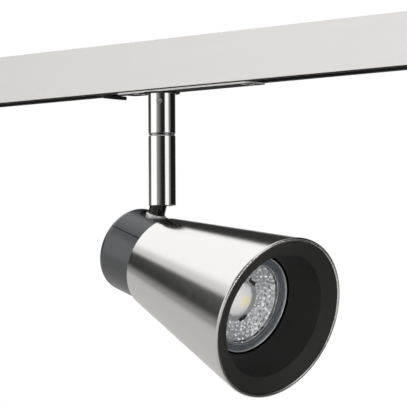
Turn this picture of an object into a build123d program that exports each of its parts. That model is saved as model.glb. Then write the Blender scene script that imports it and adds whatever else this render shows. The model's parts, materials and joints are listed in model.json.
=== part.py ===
from build123d import *
import os
from math import cos, radians, sin, sqrt

# Track spotlight: a short length of single-circuit track, a sliding adapter, a swivelling stem
# and a tilting conical head with a twist-in reflector lamp.  Millimetres, +Z up.
# Origin: centre of the track's upper face, which lies against the ceiling.  The track runs along X.

# ------------------------------------------------------------------ driving dimensions
# Track
TRACK_LENGTH = 330.0
TRACK_WIDTH = 19.0
TRACK_HEIGHT = 25.0
TRACK_WALL = 1.2
TRACK_WEB = 1.5
TRACK_EDGE_RADIUS = 0.4
TOE_REACH = 0.8
TOE_THICKNESS = 1.0
CEILING_HOLE_SPACING = 250.0
CEILING_HOLE_RADIUS = 2.25
SLOT_HALF = 4.9
LIP_TOP = -22.5
CHANNEL_HALF = 6.4
GROOVE_DEPTH = 1.2
GROOVE_LOW = -14.0
GROOVE_HIGH = -11.0
CONDUCTOR_THICKNESS = 0.7
CAP_FLANGE = 1.5
CAP_PLUG = 9.0

# Adapter
ADAPTER_LEFT = -64.0
ADAPTER_RIGHT = 50.0
ADAPTER_HALF = 4.6
ADAPTER_TOP = -5.0
ADAPTER_BOTTOM = -25.15
FLANGE_LEFT = -45.0
FLANGE_HALF = 7.0
FLANGE_THICKNESS = 0.85
FLANGE_SCREW_HEAD = 1.7
FLANGE_SCREW_SHANK = 0.9
FLANGE_SCREW_END = -21.5
SHELL_SCREW_HEAD = 1.8
SHELL_SCREW_SHANK = 1.0
SHELL_SCREW_SEAT = -3.4
LEVER_X = -55.5
LEVER_TIP = -47.6
LEVER_BOTTOM = -28.1
LEVER_TOP = -26.2
LEVER_TAB_HALF = 3.5
LEVER_BOSS = 4.4
SQUARE_HALF = 1.6
DOG_SQUARE_HALF = 1.7
ROTOR_RADIUS = 2.5
ROTOR_COLLAR = 3.4
ROTOR_TOP = -9.5
ROTOR_BOTTOM = -25.2
DOG_RADIUS = 6.0
DOG_HALF = 2.5
DOG_LOW = -22.3
DOG_HIGH = -20.8
BLADE_RADIUS = 6.8
BLADE_WIDTH = 3.0
BLADE_LOW = -13.0
BLADE_HIGH = -12.0
CLIP_LEFT = 32.2
CLIP_RIGHT = 39.8
CLIP_REACH = 6.1
CLIP_METAL = 0.6
EARTH_HALF = 1.8
CABLE_HEIGHT = -13.0

# Stem
STEM_X = -18.0
STEM_RADIUS = 7.0
UPPER_BORE = 5.5
LOWER_BORE = 6.0
ROSE_RADIUS = 9.25
ROSE_THICKNESS = 0.8
UPPER_LENGTH = 20.4
SEAM_HEIGHT = 1.0
LIP_OUTER = 6.7
LIP_INNER = 6.35
LIP_GAP = 0.2
STEM_BOTTOM = -84.0
CABLE_RADIUS = 2.2
CABLE_BORE = 2.75
SPIGOT_RADIUS = 4.0
SPIGOT_GROOVE = 3.3
SPIGOT_TOP = -20.9
STUB_LENGTH = 9.9
CORE_TOP = -38.0
CORE_BOTTOM = -57.0
CORE_GROOVE = 3.5
CORE_PLAY = 0.05
CORE_CLIP_LOW = -55.85
CORE_CLIP_HIGH = -55.05
THRUST_LOW = -54.9
BUSH_LOW = -54.2
STOP_LUG_HALF = 0.5
STOP_LUG_DROP = 0.8
RETAINER_LOW = -59.0
RETAINER_HIGH = -58.0
RETAINER_INNER = 4.4
RETAINER_OUTER = 6.35
CLIP_GAP_HALF = 1.2
SPRING_WIRE = 0.6
SPRING_RADIUS = 4.9
SPRING_PITCH = 1.8
SPRING_LENGTH = 7.2
SPRING_LOW = -66.9
CUP_LOW = -72.5
CUP_HIGH = -67.6
CUP_BORE = 3.0
SET_SCREW_RADIUS = 1.5
SET_SCREW_DROP = 4.0
SET_SCREW_AZIMUTH = -54.7

# Tilt joint
PIVOT_Z = -75.0
BALL_RADIUS = 5.8
BALL_PLAY = 0.05
NECK_RADIUS = 4.3
NECK_SIDE_PLAY = 0.25
NECK_TAIL_RADIUS = 3.95
COLLAR_RADIUS = 5.2
COLLAR_HEIGHT = 1.8
COLLAR_EDGE = 0.7
NECK_BORE = 2.5
NECK_HOLE = 4.1
NECK_TAIL_LENGTH = 8.0
NUT_RADIUS = 7.4
NUT_HEIGHT = 3.5
PLATE_GAP = 2.5
PLATE_THICKNESS = 1.2
SEAT_BORE = 5.3
REST_TILT = 18.9

# Head, measured along its own axis from the shade's rear edge
AXIS_DROP = 36.0
PIVOT_SETBACK = 12.0
HOUSING_RADIUS = 22.0
HOUSING_LENGTH = 26.0
HOUSING_WALL = 1.8
HOUSING_EDGE = 4.5
COVER_HALF_ANGLE = 56.0
SEAM_HALF_ANGLE = 0.6
COVER_REAR_RADIUS = 15.0
RECESS_RADIUS = 8.25
RECESS_DEPTH = 1.5
SHADE_REAR_RADIUS = 23.8
SHADE_RIM_RADIUS = 41.3
SHADE_LENGTH = 87.7
SHADE_WALL = 0.9
HEM_DEPTH = 1.8
HEM_WIDTH = 1.9
CLAMP_SCREW_CIRCLE = 17.5
CLAMP_SCREW_ANGLES = (0, 120, 240)
CLAMP_SCREW_SHANK = 1.5
CLAMP_SCREW_HEAD = 2.8
CLAMP_SCREW_HOLE = 1.7
CLAMP_SCREW_DEPTH = 4.2
COVER_SCREW_CIRCLE = 17.3
COVER_SCREW_ANGLES = (-30, 30)
COVER_SCREW_SHANK = 1.25
COVER_SCREW_HEAD = 2.0
TERMINAL_SCREW = 1.6
TERMINAL_SCREW_X = 3.6
TERMINAL_TOP = -27.2
TERMINAL_BOTTOM = -37.2
WIRE_RADIUS = 0.9

# Lamp and holder
LAMP_RADIUS = 25.0
LAMP_FACE = 66.5
LENS_BACK = 63.4
BOWL_FLOOR = 58.5
CHIP_HEIGHT = 0.8
DOME_SPHERE = 10.4
DOME_RISE = 4.0
DOME_WALL = 0.8
PIN_CIRCLE = 5.0
PIN_ANGLES = (90, 270)
LAMP_TWIST = 25.0
HOLDER_REAR = 4.0
HOLDER_FRONT = 19.3
HOLDER_RADIUS = 13.0
HOLDER_SCREW_OFFSET = 9.3
HOLDER_SCREW_SHANK = 1.5
HOLDER_SCREW_HEAD = 2.7
HOLDER_SCREW_SEAT = 10.0
CAVITY_LOW = 9.5
CAVITY_HIGH = 15.9
CAVITY_HALF = 2.9
KEYHOLE_HALF = 1.95
LEAF_HALF = 1.8
PIN_HEAD = 2.5
PIN_SHANK = 1.7
PIN_LOW = 13.0
PIN_SHOULDER = 15.5
PIN_HIGH = 24.0
LAMP_BASE_REAR = 20.0
LAMP_BASE_FRONT = 30.0
COOLING_GROOVE_STEP = 15

# ------------------------------------------------------------------ worked-out positions
TRACK_INNER = TRACK_WIDTH / 2 - TRACK_WALL
FLANGE_BOTTOM = ADAPTER_BOTTOM - FLANGE_THICKNESS
ROSE_BOTTOM = FLANGE_BOTTOM - ROSE_THICKNESS
UPPER_BOTTOM = ROSE_BOTTOM - UPPER_LENGTH
LOWER_TOP = UPPER_BOTTOM - SEAM_HEIGHT
BRACKET_STEP = HOLDER_REAR - 1.2
STEM = (STEM_X, 0)
LEVER = (LEVER_X, 0)

# HEAD: origin at the tilt axis, x forward, z up.  OPTIC: origin at the centre of the shade's
# rear edge, x up, z forward along the beam.
HEAD = Pos(STEM_X, 0, PIVOT_Z) * Rot(0, REST_TILT, 0)
OPTIC = HEAD * Plane(origin=(PIVOT_SETBACK, 0, -AXIS_DROP), x_dir=(0, 0, 1), z_dir=(1, 0, 0)).location


# ------------------------------------------------------------------ shape helpers
def block(x, y, z):
    """Box from three (low, high) pairs."""
    spans = (x, y, z)
    centre = [(low + high) / 2 for low, high in spans]
    size = [high - low for low, high in spans]
    return Pos(*centre) * Box(*size)


def rod(radius, low, high, at=(0, 0)):
    """Cylinder along Z between two heights."""
    return Pos(at[0], at[1], (low + high) / 2) * Cylinder(radius, high - low)


def cross_rod(radius, low, high, x, z):
    """Cylinder along Y between two stations."""
    return Pos(x, (low + high) / 2, z) * Rot(90, 0, 0) * Cylinder(radius, high - low)


def long_rod(radius, low, high, y, z):
    """Cylinder along X between two stations."""
    return Pos((low + high) / 2, y, z) * Rot(0, 90, 0) * Cylinder(radius, high - low)


def ring(outer, inner, low, high, at=(0, 0)):
    """Flat ring about a vertical axis."""
    return rod(outer, low, high, at) - rod(inner, low - 1, high + 1, at)


def turned(points, at=(0, 0)):
    """Solid of revolution about Z from a closed (radius, z) outline."""
    outline = Plane.XZ * Polyline(*points, close=True)
    return Pos(at[0], at[1], 0) * revolve(make_face(outline), Axis.Z)


def along_x(points, low, high):
    """Closed (y, z) outline extruded along X."""
    outline = Plane.YZ * Polyline(*points, close=True)
    return Pos(low, 0, 0) * extrude(make_face(outline), high - low, dir=(1, 0, 0))


def along_y(points, half):
    """Closed (x, z) outline extruded along Y, the same both ways."""
    outline = Plane.XZ * Polyline(*points, close=True)
    return extrude(make_face(outline), half, dir=(0, 1, 0), both=True)


def sector(inner, outer, low, high, start, sweep):
    """Part of a flat ring about Z, from an angle, through a sweep."""
    outline = Plane.XZ * Polyline((inner, low), (outer, low), (outer, high), (inner, high), close=True)
    return Rot(0, 0, start) * revolve(make_face(outline), Axis.Z, revolution_arc=sweep)


def polar(radius, angle):
    """Point on a circle about the origin."""
    return (radius * cos(radians(angle)), radius * sin(radians(angle)))


def wire(radius, points, bend):
    """Round wire through points, with bends of one radius."""
    path = FilletPolyline(*points, radius=bend)
    section = Plane(origin=path @ 0, z_dir=path % 0) * Circle(radius)
    return sweep(section, path=path)


def group(pieces):
    """Separate solids kept together in one node."""
    return Compound([piece.solid() for piece in pieces])


def edges_at(shape, height, radius):
    """Circular edges about Z at one height and radius."""
    circles = shape.edges().filter_by(GeomType.CIRCLE)
    return [e for e in circles if abs(e.center().Z - height) < 0.01 and abs(e.radius - radius) < 0.01]


# ------------------------------------------------------------------ track
def track_profile():
    """Inverted U of brushed steel, with inward toes and two ceiling holes."""
    half = TRACK_WIDTH / 2
    toe = TRACK_INNER - TOE_REACH
    toe_top = TOE_THICKNESS - TRACK_HEIGHT
    side = [(half, 0), (half, -TRACK_HEIGHT), (toe, -TRACK_HEIGHT), (toe, toe_top),
            (TRACK_INNER, toe_top), (TRACK_INNER, -TRACK_WEB)]
    other = [(-y, z) for y, z in reversed(side)]
    profile = along_x(side + other, -TRACK_LENGTH / 2, TRACK_LENGTH / 2)
    corners = [e for e in profile.edges().filter_by(Axis.X) if abs(abs(e.center().Y) - half) < 0.01]
    profile = fillet(corners, TRACK_EDGE_RADIUS)
    for x in (-CEILING_HOLE_SPACING / 2, CEILING_HOLE_SPACING / 2):
        profile -= rod(CEILING_HOLE_RADIUS, -5, 5, (x, 0))
    return profile


def insulator(side):
    """Black lining of one side wall, with a slot lip and a conductor groove."""
    outer = TRACK_INNER - 0.1
    notch = TRACK_INNER - TOE_REACH - 0.1
    notch_top = TOE_THICKNESS - TRACK_HEIGHT + 0.1
    back = CHANNEL_HALF + GROOVE_DEPTH
    top = -2.0
    outline = [(outer, top), (outer, notch_top), (notch, notch_top), (notch, -TRACK_HEIGHT),
               (SLOT_HALF, -TRACK_HEIGHT), (SLOT_HALF, LIP_TOP), (CHANNEL_HALF, LIP_TOP),
               (CHANNEL_HALF, GROOVE_LOW), (back, GROOVE_LOW), (back, GROOVE_HIGH),
               (CHANNEL_HALF, GROOVE_HIGH), (CHANNEL_HALF, top)]
    return along_x([(side * y, z) for y, z in outline], -TRACK_LENGTH / 2, TRACK_LENGTH / 2)


def conductor(side):
    """Copper strip at the back of an insulator's groove."""
    back = CHANNEL_HALF + GROOVE_DEPTH
    y = sorted((side * back, side * (back - CONDUCTOR_THICKNESS)))
    return block((-TRACK_LENGTH / 2, TRACK_LENGTH / 2), y, (GROOVE_LOW, GROOVE_HIGH))


def end_cap(side):
    """Black cap that plugs into one end of the channel."""
    end = side * TRACK_LENGTH / 2
    half = TRACK_WIDTH / 2
    flange = block(sorted((end, end + side * CAP_FLANGE)), (-half, half), (-TRACK_HEIGHT, 0))
    flange = fillet(flange.faces().sort_by(Axis.X)[-1 if side > 0 else 0].edges(), 0.6)
    plug_half = CHANNEL_HALF - 0.2
    plug = block(sorted((end - side * CAP_PLUG, end)), (-plug_half, plug_half), (LIP_TOP + 0.2, -2.2))
    return flange + plug


# ------------------------------------------------------------------ adapter
def locking_dog():
    """Steel plate that turns across the slot and rests on its lips."""
    plate = block((-DOG_HALF, DOG_HALF), (-DOG_RADIUS, DOG_RADIUS), (DOG_LOW, DOG_HIGH))
    plate &= rod(DOG_RADIUS, DOG_LOW, DOG_HIGH)
    square = (-DOG_SQUARE_HALF, DOG_SQUARE_HALF)
    return Pos(LEVER_X, 0, 0) * (plate - block(square, square, (DOG_LOW - 1, DOG_HIGH + 1)))


def contact_blade(side):
    """Copper blade on the rotor, reaching into one conductor groove."""
    y = sorted((side * 1.0, side * 8.0))
    blade = block((-BLADE_WIDTH / 2, BLADE_WIDTH / 2), y, (BLADE_LOW, BLADE_HIGH))
    return Pos(LEVER_X, 0, 0) * (blade & rod(BLADE_RADIUS, BLADE_LOW, BLADE_HIGH))


def square_drive(low, high):
    """Square that locks the lever to the rotor."""
    return block((LEVER_X - SQUARE_HALF, LEVER_X + SQUARE_HALF), (-SQUARE_HALF, SQUARE_HALF), (low, high))


def lock_rotor():
    """Plastic shaft that carries the dog and the blades."""
    shaft = rod(ROTOR_RADIUS, ROTOR_BOTTOM, ROTOR_TOP, LEVER)
    shaft += rod(ROTOR_COLLAR, GROOVE_LOW, GROOVE_HIGH, LEVER)
    shaft += square_drive(LEVER_TOP, ROTOR_BOTTOM)
    return shaft - locking_dog() - contact_blade(1) - contact_blade(-1)


def lock_lever():
    """Finger tab under the flange, square-socketed onto the rotor."""
    boss = rod(LEVER_BOSS, LEVER_TOP - 0.3, ROTOR_BOTTOM, LEVER)
    tab_left = LEVER_X - 4.0
    outline = [(tab_left, LEVER_TOP), (LEVER_TIP, LEVER_TOP), (LEVER_TIP, LEVER_BOTTOM),
               (tab_left, LEVER_TOP - 0.4)]
    tab = along_y(outline, LEVER_TAB_HALF)
    tab = fillet(tab.edges().filter_by(Axis.Z), 1.2)
    return boss + tab - square_drive(LEVER_TOP, ROTOR_BOTTOM + 0.2)


def cross_screw_places():
    """(x, z) of the screws that join the two adapter shells."""
    return ((-46.2, -18.5), (0.0, -7.0), (46.0, -14.0))


def adapter_screws():
    """Three slotted screws across the adapter shells."""
    screws = []
    for x, z in cross_screw_places():
        screw = cross_rod(SHELL_SCREW_HEAD, -ADAPTER_HALF, SHELL_SCREW_SEAT, x, z)
        screw += cross_rod(SHELL_SCREW_SHANK, SHELL_SCREW_SEAT, -SHELL_SCREW_SEAT, x, z)
        screws.append(screw - block((x - 2, x + 2), (-5, -4.1), (z - 0.25, z + 0.25)))
    return group(screws)


def far_clip():
    """Spring-steel saddle whose ears rest on the slot lips at the far end."""
    x = (CLIP_LEFT, CLIP_RIGHT)
    clip = block(x, (-ADAPTER_HALF, ADAPTER_HALF), (ADAPTER_TOP - CLIP_METAL, ADAPTER_TOP))
    for side in (-1, 1):
        inner = side * (ADAPTER_HALF - CLIP_METAL)
        clip += block(x, sorted((inner, side * ADAPTER_HALF)), (DOG_LOW, ADAPTER_TOP))
        clip += block(x, sorted((inner, side * CLIP_REACH)), (DOG_LOW, DOG_LOW + CLIP_METAL))
    return clip


def earth_spring():
    """Bent strip that presses on the inside of the track's web."""
    strip = along_y([(6, -5.0), (10, -5.0), (15, -2.1), (19, -2.1), (24, -4.6), (24.4, -4.2),
                     (19.2, -1.6), (14.8, -1.6), (9.8, -4.6), (6, -4.6)], EARTH_HALF)
    return strip + block((6, 9), (-EARTH_HALF, EARTH_HALF), (-7.5, ADAPTER_TOP))


def stem_socket():
    """Black turned fitting: spigot held by the shells, rose, and stub inside the upper tube."""
    stub_bottom = ROSE_BOTTOM - STUB_LENGTH
    return turned([(CABLE_BORE, stub_bottom), (UPPER_BORE, stub_bottom), (UPPER_BORE, ROSE_BOTTOM),
                   (ROSE_RADIUS, ROSE_BOTTOM), (ROSE_RADIUS, FLANGE_BOTTOM), (SPIGOT_RADIUS, FLANGE_BOTTOM),
                   (SPIGOT_RADIUS, -24.0), (SPIGOT_GROOVE, -24.0), (SPIGOT_GROOVE, -22.5),
                   (SPIGOT_RADIUS, -22.5), (SPIGOT_RADIUS, SPIGOT_TOP), (CABLE_BORE, SPIGOT_TOP)], STEM)


def flange_screw_places():
    """(x, y) of the screws that hold the flange plate to the shells."""
    return ((-34.0, -2.6), (-34.0, 2.6), (44.0, -2.6), (44.0, 2.6))


def countersunk_head(x, y):
    """Cone-shaped screw head, flush with the underside of the flange plate."""
    return turned([(0, FLANGE_BOTTOM), (FLANGE_SCREW_HEAD, FLANGE_BOTTOM),
                   (FLANGE_SCREW_SHANK, ADAPTER_BOTTOM), (0, ADAPTER_BOTTOM)], (x, y))


def flange_screws():
    """Four countersunk screws up through the flange plate."""
    screws = []
    for x, y in flange_screw_places():
        screw = countersunk_head(x, y) + rod(FLANGE_SCREW_SHANK, ADAPTER_BOTTOM, FLANGE_SCREW_END, (x, y))
        drive = block((x - 2, x + 2), (y - 0.2, y + 0.2), (FLANGE_BOTTOM - 1, FLANGE_BOTTOM + 0.4))
        screws.append(screw - drive)
    return group(screws)


def flange_plate():
    """Cover plate just below the track, either side of the slot."""
    plate = block((FLANGE_LEFT, ADAPTER_RIGHT), (-FLANGE_HALF, FLANGE_HALF),
                  (FLANGE_BOTTOM, ADAPTER_BOTTOM))
    plate = fillet(plate.edges().filter_by(Axis.Z), 2.0)
    plate -= rod(SPIGOT_RADIUS, -27, -25, STEM)
    for x, y in flange_screw_places():
        plate -= countersunk_head(x, y)
    return plate


def adapter_body():
    """Both adapter shells as one piece, before they are parted."""
    body = block((ADAPTER_LEFT, ADAPTER_RIGHT), (-ADAPTER_HALF, ADAPTER_HALF),
                 (ADAPTER_BOTTOM, ADAPTER_TOP))
    body = fillet(body.edges().filter_by(Axis.Z), 1.5)
    body -= rod(ROTOR_RADIUS + 0.05, -27, -9.2, LEVER)
    body -= rod(DOG_RADIUS + 0.3, DOG_LOW - 0.3, DOG_HIGH + 0.3, LEVER)
    body -= rod(BLADE_RADIUS + 0.3, GROOVE_LOW - 0.3, GROOVE_HIGH + 0.3, LEVER)
    body -= block((-44, 28), (-3.0, 3.0), (-20.5, -9.0))
    body -= long_rod(CABLE_RADIUS + 0.1, -50, -43, 0, CABLE_HEIGHT)
    clip_pocket = (CLIP_LEFT - 0.2, CLIP_RIGHT + 0.2)
    for side in (-1, 1):
        y = sorted((side * (ADAPTER_HALF - CLIP_METAL), side * 6))
        body -= block(clip_pocket, y, (DOG_LOW - 0.3, 0))
    body -= block(clip_pocket, (-6, 6), (ADAPTER_TOP - CLIP_METAL, 0))
    body -= stem_socket() + rod(SPIGOT_RADIUS, -26, -23.9, STEM) + rod(CABLE_BORE, -26, -20, STEM)
    body -= earth_spring()
    for x, z in cross_screw_places():
        body -= cross_rod(SHELL_SCREW_HEAD, -6, SHELL_SCREW_SEAT, x, z)
        body -= cross_rod(SHELL_SCREW_SHANK, SHELL_SCREW_SEAT - 0.1, -SHELL_SCREW_SEAT, x, z)
    for x, y in flange_screw_places():
        body -= rod(FLANGE_SCREW_SHANK, -26, FLANGE_SCREW_END, (x, y))
    return body


def adapter_shell(side):
    """One half of the adapter, parted along its middle."""
    return adapter_body() & block((-80, 80), sorted((0, side * 20)), (-40, 0))


def adapter_cable():
    """Sheathed lead from the contacts down to the swivel."""
    corner = (STEM_X, 0, CABLE_HEIGHT)
    return wire(CABLE_RADIUS, [(-48.2, 0, CABLE_HEIGHT), corner, (STEM_X, 0, CORE_BOTTOM - 0.1)], 6.0)


# ------------------------------------------------------------------ stem, fixed part
def stem_direction():
    """Unit vector of the set screw, seen from above."""
    return polar(1.0, SET_SCREW_AZIMUTH)


def side_rod(radius, low, high, z):
    """Cylinder along the set screw's direction, between two distances from the stem axis."""
    x, y = stem_direction()
    place = Plane(origin=(STEM_X + low * x, low * y, z), z_dir=(x, y, 0))
    return extrude(place * Circle(radius), high - low)


def set_screw():
    """Hexagon-socket grub screw that grips the socket's stub."""
    x, y = stem_direction()
    z = ROSE_BOTTOM - SET_SCREW_DROP
    top = Plane(origin=(STEM_X + 5.7 * x, 5.7 * y, z), z_dir=(x, y, 0))
    return side_rod(SET_SCREW_RADIUS, UPPER_BORE, 6.75, z) - extrude(top * RegularPolygon(0.85, 6), 2)


def stem_upper():
    """Upper tube, fixed to the socket, with a stop lug inside its lower end and a lip round the lug."""
    tube = turned([(UPPER_BORE, UPPER_BOTTOM), (6.7, UPPER_BOTTOM), (STEM_RADIUS, UPPER_BOTTOM + 0.3),
                   (STEM_RADIUS, ROSE_BOTTOM), (UPPER_BORE, ROSE_BOTTOM)], STEM)
    tube -= side_rod(SET_SCREW_RADIUS, 5.0, 8.0, ROSE_BOTTOM - SET_SCREW_DROP)
    lug = block((5.6, 6.3), (-STOP_LUG_HALF, STOP_LUG_HALF),
                (UPPER_BOTTOM - STOP_LUG_DROP, UPPER_BOTTOM + 0.1))
    lip = ring(LIP_OUTER, LIP_INNER, LOWER_TOP + LIP_GAP, UPPER_BOTTOM + 0.1, STEM)
    return tube + lip + Pos(STEM_X, 0, 0) * Rot(0, 0, 90) * lug


def swivel_core():
    """Hollow pivot fixed in the upper tube, which the lower tube turns on."""
    groove_low = CORE_BOTTOM + 1
    groove_high = CORE_BOTTOM + 2
    return turned([(CABLE_BORE, CORE_BOTTOM), (SPIGOT_RADIUS, CORE_BOTTOM), (SPIGOT_RADIUS, groove_low),
                   (CORE_GROOVE, groove_low), (CORE_GROOVE, groove_high), (SPIGOT_RADIUS, groove_high),
                   (SPIGOT_RADIUS, UPPER_BOTTOM), (UPPER_BORE, UPPER_BOTTOM), (UPPER_BORE, CORE_TOP),
                   (CABLE_BORE, CORE_TOP)], STEM)


def seam_washer():
    """Dark washer in the seam between the tubes."""
    return ring(4.9, SPIGOT_RADIUS + CORE_PLAY, LOWER_TOP + CORE_PLAY, UPPER_BOTTOM, STEM)


def clip_gap(low, high):
    """Opening of a snap ring, so that it can be sprung into its groove."""
    return block((STEM_X, STEM_X + 8), (-CLIP_GAP_HALF, CLIP_GAP_HALF), (low - 1, high + 1))


def core_clip():
    """Retaining clip in the pivot's groove."""
    snap_ring = ring(5.4, CORE_GROOVE, CORE_CLIP_LOW, CORE_CLIP_HIGH, STEM)
    return snap_ring - clip_gap(CORE_CLIP_LOW, CORE_CLIP_HIGH)


# ------------------------------------------------------------------ stem, turning part
def swivel_bush():
    """Brass bush in the top of the lower tube, with the other stop lug."""
    bush = ring(LOWER_BORE, SPIGOT_RADIUS + CORE_PLAY, BUSH_LOW, LOWER_TOP, STEM)
    lug = block((5.05, 5.95), (-STOP_LUG_HALF, STOP_LUG_HALF), (LOWER_TOP - 0.1, LOWER_TOP + STOP_LUG_DROP))
    return bush + Pos(STEM_X, 0, 0) * Rot(0, 0, -90) * lug


def thrust_washer():
    """Steel washer between the bush and the clip."""
    return ring(5.8, SPIGOT_RADIUS + CORE_PLAY, THRUST_LOW, BUSH_LOW, STEM)


def stem_lower():
    """Lower tube: ball seat, open rear slot for the neck, groove for the spring's stop."""
    seat = PIVOT_Z - sqrt((BALL_RADIUS + BALL_PLAY) ** 2 - SEAT_BORE ** 2)
    tube = turned([(LOWER_BORE, LOWER_TOP), (6.7, LOWER_TOP), (STEM_RADIUS, LOWER_TOP - 0.3),
                   (STEM_RADIUS, STEM_BOTTOM + 0.3), (6.7, STEM_BOTTOM), (5.8, STEM_BOTTOM),
                   (SEAT_BORE, STEM_BOTTOM + 0.5), (SEAT_BORE, seat), (LOWER_BORE, seat)], STEM)
    tube -= ring(6.4, 4.0, RETAINER_LOW, RETAINER_HIGH, STEM)
    slot_half = NECK_RADIUS + NECK_SIDE_PLAY
    tube -= block((STEM_X - 9, STEM_X), (-slot_half, slot_half), (STEM_BOTTOM - 1, PIVOT_Z))
    tube -= long_rod(slot_half, STEM_X - 9, STEM_X, 0, PIVOT_Z)
    return tube


def spring_retainer():
    """Snap ring that the friction spring pushes up against."""
    snap_ring = ring(RETAINER_OUTER, RETAINER_INNER, RETAINER_LOW, RETAINER_HIGH, STEM)
    return snap_ring - clip_gap(RETAINER_LOW, RETAINER_HIGH)


def friction_spring():
    """Compression spring that loads the friction cup."""
    coil = Helix(pitch=SPRING_PITCH, height=SPRING_LENGTH, radius=SPRING_RADIUS)
    section = Plane(origin=coil @ 0, z_dir=coil % 0) * Circle(SPRING_WIRE)
    return Pos(STEM_X, 0, SPRING_LOW) * sweep(section, path=coil, is_frenet=True)


def friction_cup():
    """Nylon cup that presses on the ball, relieved at the rear for the level neck."""
    cup = ring(LOWER_BORE - 0.1, CUP_BORE, CUP_LOW, CUP_HIGH, STEM)
    cup -= Pos(STEM_X, 0, PIVOT_Z) * Sphere(BALL_RADIUS + BALL_PLAY)
    return cup - long_rod(NECK_RADIUS + NECK_SIDE_PLAY, STEM_X - 9, STEM_X, 0, PIVOT_Z)


def stem_cable():
    """Stretch of lead inside the spring and the cup."""
    return rod(CABLE_RADIUS, -69.0, CORE_BOTTOM - 0.2, STEM)


# ------------------------------------------------------------------ head: neck (HEAD frame)
NECK_SEAT = -AXIS_DROP + HOUSING_RADIUS - RECESS_DEPTH


def ball_neck():
    """Hollow ball, neck, bright collar and threaded tail, in one turned piece."""
    piece = Sphere(BALL_RADIUS)
    piece += rod(NECK_RADIUS, NECK_SEAT + 0.5, -3.0)
    collar = rod(COLLAR_RADIUS, NECK_SEAT, NECK_SEAT + COLLAR_HEIGHT)
    piece += fillet(edges_at(collar, NECK_SEAT + COLLAR_HEIGHT, COLLAR_RADIUS), COLLAR_EDGE)
    piece += rod(NECK_TAIL_RADIUS, NECK_SEAT - NECK_TAIL_LENGTH, NECK_SEAT)
    return piece - rod(NECK_BORE, -30, 8)


def neck_plate():
    """Steel plate that spreads the nut's load inside the cover."""
    top = NECK_SEAT - PLATE_GAP
    plate = block((-5.3, 5.3), (-8, 8), (top - PLATE_THICKNESS, top))
    return plate - rod(NECK_HOLE, -30, 0)


def neck_nut():
    """Thin hexagon nut on the neck's tail."""
    bottom = NECK_SEAT - PLATE_GAP - PLATE_THICKNESS - NUT_HEIGHT
    nut = Pos(0, 0, bottom) * extrude(RegularPolygon(NUT_RADIUS, 6), NUT_HEIGHT)
    return nut - rod(NECK_TAIL_RADIUS, -30, 0)


def head_cable():
    """Lead through the ball and neck to the terminal block."""
    return rod(2.0, -27.0, 4.6)


def terminal_places():
    """y of the two clamping screws in the terminal block."""
    return (-4.2, 4.2)


def terminal_block():
    """Porcelain block with two poles, where the lead meets the holder's wires."""
    piece = block((-6, 6), (-8, 8), (TERMINAL_BOTTOM, TERMINAL_TOP))
    piece = fillet(piece.edges().filter_by(Axis.Z), 1.0)
    for y in terminal_places():
        piece -= rod(TERMINAL_SCREW, -33, TERMINAL_TOP + 1, (TERMINAL_SCREW_X, y))
    return piece


def terminal_screws():
    """Brass clamping screws sunk in the block."""
    screws = []
    for y in terminal_places():
        screw = rod(TERMINAL_SCREW, -33, TERMINAL_TOP - 1, (TERMINAL_SCREW_X, y))
        screws.append(screw - block((1, 6), (y - 0.3, y + 0.3), (-28.8, -28)))
    return group(screws)


def holder_leads():
    """Two sleeved wires from the block to the back of the lampholder."""
    end = PIVOT_SETBACK + HOLDER_REAR
    return group([long_rod(WIRE_RADIUS, 6, end, y, -33.0) for y in (-3.5, 3.5)])


def earth_lead():
    """Earth wire from the block to the bracket."""
    end = PIVOT_SETBACK + BRACKET_STEP
    return wire(WIRE_RADIUS, [(6, -6, -36), (10.5, -6, -36), (10.5, -6, -44), (end, -6, -44)], 2.0)


# ------------------------------------------------------------------ head: housing and shade (OPTIC frame)
def housing_form(radius, rear, edge):
    """Round plug with a rounded rear edge, from the rear to the shade."""
    form = rod(radius, rear, 0)
    return fillet(edges_at(form, rear, radius), edge)


def housing_shell():
    """Thin cup that the cover and the housing are parted from."""
    outer = housing_form(HOUSING_RADIUS, -HOUSING_LENGTH, HOUSING_EDGE)
    inner = housing_form(HOUSING_RADIUS - HOUSING_WALL, HOUSING_WALL - HOUSING_LENGTH,
                         HOUSING_EDGE - HOUSING_WALL)
    return outer - inner


def cover_zone(half_angle, inner):
    """Wedge about the head's top that the cover takes up."""
    return sector(inner, 30, -30, 5, -half_angle, 2 * half_angle)


def cover_screw_places():
    """(x, y) of the two screws in the rear face."""
    return [polar(COVER_SCREW_CIRCLE, angle) for angle in COVER_SCREW_ANGLES]


def clamp_screw_places(angles=CLAMP_SCREW_ANGLES):
    """(x, y) of the screws that clamp bracket, shade and housing together."""
    return [polar(CLAMP_SCREW_CIRCLE, angle) for angle in angles]


def top_cover():
    """Curved cover over the top of the housing, carrying the neck in a round recess."""
    neck_z = -PIVOT_SETBACK
    seat = AXIS_DROP + NECK_SEAT
    cover = housing_shell() & cover_zone(COVER_HALF_ANGLE - SEAM_HALF_ANGLE, COVER_REAR_RADIUS + 0.2)
    pad = long_rod(10.0, seat - 2.5, HOUSING_RADIUS, 0, neck_z) & rod(HOUSING_RADIUS - 0.5, -25, -1)
    boss = rod(3.2, -4.5, 0, clamp_screw_places()[0])
    cover += pad + boss
    cover -= long_rod(RECESS_RADIUS, seat, HOUSING_RADIUS + 2, 0, neck_z)
    cover -= long_rod(NECK_HOLE, 10, HOUSING_RADIUS, 0, neck_z)
    cover -= rod(CLAMP_SCREW_SHANK, -CLAMP_SCREW_DEPTH - 0.1, 1, clamp_screw_places()[0])
    for place in cover_screw_places():
        cover -= rod(COVER_SCREW_HEAD, -30, -25, place) + rod(COVER_SCREW_SHANK, -26, -20, place)
    return cover


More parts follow.
